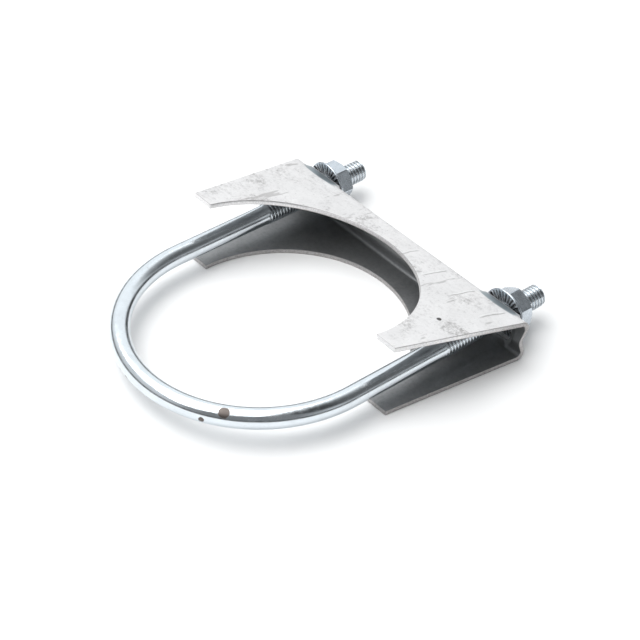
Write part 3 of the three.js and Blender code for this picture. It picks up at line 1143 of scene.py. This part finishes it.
            # Share of the painted shade and reflection on the ramp, strongest on its front part
            pressed.append(smooth(self.lens(x) * 1.6) * smooth((0.75 - q) * 5) * smooth(q * 12))
            swell = self.disc(x, -self.bend_height) * s.seat_stand_off * q
            lower.append(np.stack([x, y + swell, np.full_like(x, -z)], 1))
        return upper, lower, pressed

    def web_rows(self, depth, trim):
        """Rows of the web between the bends, with its groove and the two seats"""
        s = self.s
        x = self.across * (self.back_half - trim)
        rows = []
        for i in range(1, WEB_ROWS):
            height = self.bend_height * (1 - 2 * i / WEB_ROWS)
            share = min(1.0, abs(height) / s.bead_half_height)
            groove = -s.bead_depth * (1 + math.cos(math.pi * share)) / 2
            settle = smooth((self.bend_height - abs(height)) / (0.25 * self.bend_height))
            on_seat = self.disc(x, height)
            y = groove * settle * (1 - on_seat) + s.seat_stand_off * on_seat - depth
            rows.append(np.stack([x, y, np.full_like(x, height)], 1))
        return rows

    def sheet_points(self, depth, trim):
        """A grid of points from the upper flange's edge round to the lower one's, and how strongly each point
        is painted with the ramps' shade and reflection
        """
        flange = self.flange_rows(depth, trim)
        upper, lower, pressed = self.bend_rows(depth, trim)
        web = self.web_rows(depth, trim)
        mirrored = [row * (1, 1, -1) for row in reversed(flange)]
        grid = flange + upper + web + list(reversed(lower)) + mirrored
        plain = np.zeros_like(self.across)
        before = [plain] * len(flange)
        after = [plain] * (len(grid) - len(flange) - len(upper))
        return self.to_part(np.array(grid)), np.array(before + pressed + after)


def saddle_mesh(sizes):
    """The folded sheet as one closed mesh: outer face, inner face and the cut edge between them"""
    surface = SaddleSurface(sizes)
    outer, _ = surface.sheet_points(0.0, OUTER_TRIM)
    inner, marks = surface.sheet_points(sizes.sheet, INNER_TRIM)
    rows, columns = outer.shape[:2]
    vertices = [*outer.reshape(-1, 3), *inner.reshape(-1, 3)]
    cut = [0.0] * len(vertices)
    within = [0.0] * (rows * columns) + [1.0] * (rows * columns)
    # How strongly each point is painted with the ramps' shade and reflection
    pressed = [*marks.ravel()] * 2
    faces = []
    layer = rows * columns

    def index(side, i, j):
        return side * layer + i * columns + j

    for i in range(rows - 1):
        for j in range(columns - 1):
            faces.append((index(0, i, j), index(0, i, j + 1), index(0, i + 1, j + 1), index(0, i + 1, j)))
            faces.append((index(1, i, j), index(1, i + 1, j), index(1, i + 1, j + 1), index(1, i, j + 1)))
    edge = [(0, j) for j in range(columns)]
    edge += [(i, columns - 1) for i in range(1, rows)]
    edge += [(rows - 1, j) for j in range(columns - 2, -1, -1)]
    edge += [(i, 0) for i in range(rows - 2, 0, -1)]
    loops = [[index(0, i, j) for i, j in edge]]
    for share, trim in EDGE_ROWS:
        points, _ = surface.sheet_points(sizes.sheet * share, trim)
        start = len(vertices)
        vertices += [points[i, j] for i, j in edge]
        cut += [1.0] * len(edge)
        within += [0.0] * len(edge)
        pressed += [0.0] * len(edge)
        loops.append(list(range(start, start + len(edge))))
    loops.append([index(1, i, j) for i, j in edge])
    for here, there in zip(loops, loops[1:]):
        for k in range(len(edge)):
            n = (k + 1) % len(edge)
            faces.append((here[k], there[k], there[n], here[n]))
    attributes = {"cut_edge": cut, "inside_face": within, "ramp_shade_share": pressed}
    return mesh_object("folded_saddle", vertices, faces, attributes), surface


def slot_cutter(sizes, surface, side):
    """A rounded box that cuts a leg slot through the web"""
    depth = sizes.bend_radius * 2
    work = bmesh.new()
    bmesh.ops.create_cube(work, size=1.0)
    for corner in work.verts:
        corner.co.x = corner.co.x * 2 * sizes.slot_half_width
        corner.co.y = corner.co.y * 2 * depth
        corner.co.z = sizes.leg_above_middle + (sizes.slot_top if corner.co.z > 0 else -sizes.slot_bottom)
    through = [edge for edge in work.edges if abs(edge.verts[0].co.y - edge.verts[1].co.y) > depth]
    bmesh.ops.bevel(work, geom=through, offset=sizes.slot_corner, segments=8, profile=0.5, affect="EDGES")
    mesh = bpy.data.meshes.new("slot_cutter")
    work.to_mesh(mesh)
    work.free()
    points = np.array([vertex.co for vertex in mesh.vertices])
    points[:, 0] += side * LEG_OFFSET
    for vertex, place in zip(mesh.vertices, surface.to_part(points)):
        vertex.co = place
    cutter = bpy.data.objects.new("slot_cutter", mesh)
    bpy.context.scene.collection.objects.link(cutter)
    return cutter


def cut_away(piece, cutter):
    """Cuts one closed mesh out of another and removes the cutter"""
    cut = piece.modifiers.new("leg_slot", "BOOLEAN")
    cut.operation = "DIFFERENCE"
    cut.object = cutter
    cut.solver = "EXACT"
    graph = bpy.context.evaluated_depsgraph_get()
    result = bpy.data.meshes.new_from_object(piece.evaluated_get(graph))
    piece.modifiers.clear()
    piece.data = result
    bpy.data.objects.remove(cutter)


class ClampMakeSaddle(bpy.types.Operator):
    """Makes the folded sheet saddle with its pipe arcs, groove, pressed seats and leg slots"""

    bl_idname = "pipe_clamp.make_saddle"
    bl_label = "Make saddle"

    def execute(self, context):
        sizes = context.scene.clamp_saddle
        piece, surface = saddle_mesh(sizes)
        finish_shading(piece, math.radians(35))
        for side in (-1, 1):
            cut_away(piece, slot_cutter(sizes, surface, side))
        piece.data.materials.clear()
        piece.data.materials.append(sheet_finish(context.scene.clamp_finish))
        finish_shading(piece, math.radians(35))
        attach(piece, "saddle")
        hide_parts("saddle")
        return {"FINISHED"}


# Stage


def area_light(name, place, aim, size, power):
    """A rectangular light at a place, turned towards a point"""
    lamp = bpy.data.lights.new(name, "AREA")
    lamp.shape = "RECTANGLE"
    lamp.size, lamp.size_y = size
    lamp.energy = power
    obj = bpy.data.objects.new(name, lamp)
    obj.location = place
    obj.rotation_euler = (Vector(aim) - Vector(place)).to_track_quat("-Z", "Y").to_euler()
    bpy.context.scene.collection.objects.link(obj)


class StudioSky(NodeBench):
    """A world whose glow is made brighter or darker towards chosen directions"""

    def __init__(self, name):
        self.world = bpy.data.worlds.new(name)
        self.world.use_nodes = True
        self.tree = self.world.node_tree
        self.glow = self.tree.nodes["Background"]
        self.place = self.add("ShaderNodeTexCoord").outputs["Generated"]

    def towards(self, direction, low, high):
        """1 towards a direction and 0 away from it, with a soft step between two cosines"""
        turn = self.add("ShaderNodeVectorMath", operation="DOT_PRODUCT")
        self.feed(turn.inputs[0], self.place)
        turn.inputs[1].default_value = Vector(direction).normalized()
        step = self.add("ShaderNodeMapRange", interpolation_type="SMOOTHSTEP")
        self.feed(step.inputs["Value"], turn.outputs["Value"])
        step.inputs["From Min"].default_value = low
        step.inputs["From Max"].default_value = high
        return step.outputs[0]


def studio_world():
    """A pale sky with a bright window at the back left, and dark flags at the back right and in front"""
    sky = StudioSky("soft_studio")
    window = sky.math("MULTIPLY", sky.towards((-0.60, 0.70, 0.42), 0.35, 0.9), 0.42)
    back_flag = sky.math("MULTIPLY", sky.towards((0.46, 0.50, 0.72), 0.76, 0.93), 0.6)
    front_flag = sky.math("MULTIPLY", sky.towards((0.58, -0.60, 0.55), 0.5, 0.9), 0.5)
    shaded = sky.math("SUBTRACT", 0.70, sky.math("ADD", back_flag, front_flag))
    bright = sky.math("ADD", sky.math("MAXIMUM", shaded, 0.03), window)
    above_floor = sky.towards((0, 0, 1), 0.08, 0.3)
    sky.feed(sky.glow.inputs["Strength"], sky.math("ADD", sky.math("MULTIPLY", bright, above_floor), 0.04))
    sky.glow.inputs["Color"].default_value = (0.96, 0.985, 1.0, 1.0)
    return sky.world


def stage_camera(settings):
    """The camera, turned by its heading, drop and roll"""
    lens = bpy.data.cameras.new("camera")
    lens.lens = settings.lens
    lens.sensor_width = 36
    lens.clip_start = 0.01
    camera = bpy.data.objects.new("camera", lens)
    tilt = math.pi / 2 - settings.camera_drop
    camera.matrix_world = (
        Matrix.Translation(settings.camera_place)
        @ Matrix.Rotation(settings.camera_heading, 4, "Z")
        @ Matrix.Rotation(tilt, 4, "X")
        @ Matrix.Rotation(settings.camera_roll, 4, "Z")
    )
    bpy.context.scene.collection.objects.link(camera)
    return camera


class ClampMakeStage(bpy.types.Operator):
    """Makes the pale floor, the soft studio light and the camera"""

    bl_idname = "pipe_clamp.make_stage"
    bl_label = "Make stage"

    def execute(self, context):
        settings = context.scene.clamp_stage
        half = settings.floor_half
        corners = [(-half, -half, 0), (half, -half, 0), (half, half, 0), (-half, half, 0)]
        floor = mesh_object("floor", corners, [(0, 1, 2, 3)])
        floor.data.materials.append(floor_finish(settings.floor_colour))
        area_light("overhead_softbox", (-0.3, -0.3, 1.1), (0, 0, 0), (1.5, 1.2), 16)
        context.scene.world = studio_world()
        context.scene.camera = stage_camera(settings)
        context.scene.view_settings.view_transform = "Standard"
        return {"FINISHED"}


class ClampPanel(bpy.types.Panel):
    """Lists the clamp's operators and sizes in the sidebar"""

    bl_idname = "VIEW3D_PT_pipe_clamp"
    bl_label = "Pipe Clamp"
    bl_space_type = "VIEW_3D"
    bl_region_type = "UI"
    bl_category = "Pipe Clamp"

    def draw(self, context):
        layout = self.layout
        for operator in OPERATORS:
            layout.operator(operator.bl_idname)
        for key in SETTINGS:
            group = getattr(context.scene, key)
            box = layout.box()
            for prop in group.__annotations__:
                box.prop(group, prop)


OPERATORS = (ClampMakeStage, ClampMakeRod, ClampMakeSaddle, ClampMakeNuts)
SETTINGS = {
    "clamp_thread": ThreadSizes,
    "clamp_rod": RodSizes,
    "clamp_nut": NutSizes,
    "clamp_saddle": SaddleSizes,
    "clamp_finish": ClampFinishes,
    "clamp_stage": StageSettings,
}


def register():
    for group in SETTINGS.values():
        bpy.utils.register_class(group)
    for key, group in SETTINGS.items():
        setattr(bpy.types.Scene, key, PointerProperty(type=group))
    for operator in OPERATORS:
        bpy.utils.register_class(operator)
    bpy.utils.register_class(ClampPanel)


def unregister():
    bpy.utils.unregister_class(ClampPanel)
    for operator in OPERATORS:
        bpy.utils.unregister_class(operator)
    for key, group in SETTINGS.items():
        delattr(bpy.types.Scene, key)
        bpy.utils.unregister_class(group)


def main():
    """Builds everything"""
    register()
    bpy.ops.pipe_clamp.make_stage()
    bpy.ops.pipe_clamp.make_rod()
    bpy.ops.pipe_clamp.make_saddle()
    bpy.ops.pipe_clamp.make_nuts()


if __name__ == "__main__":
    main()
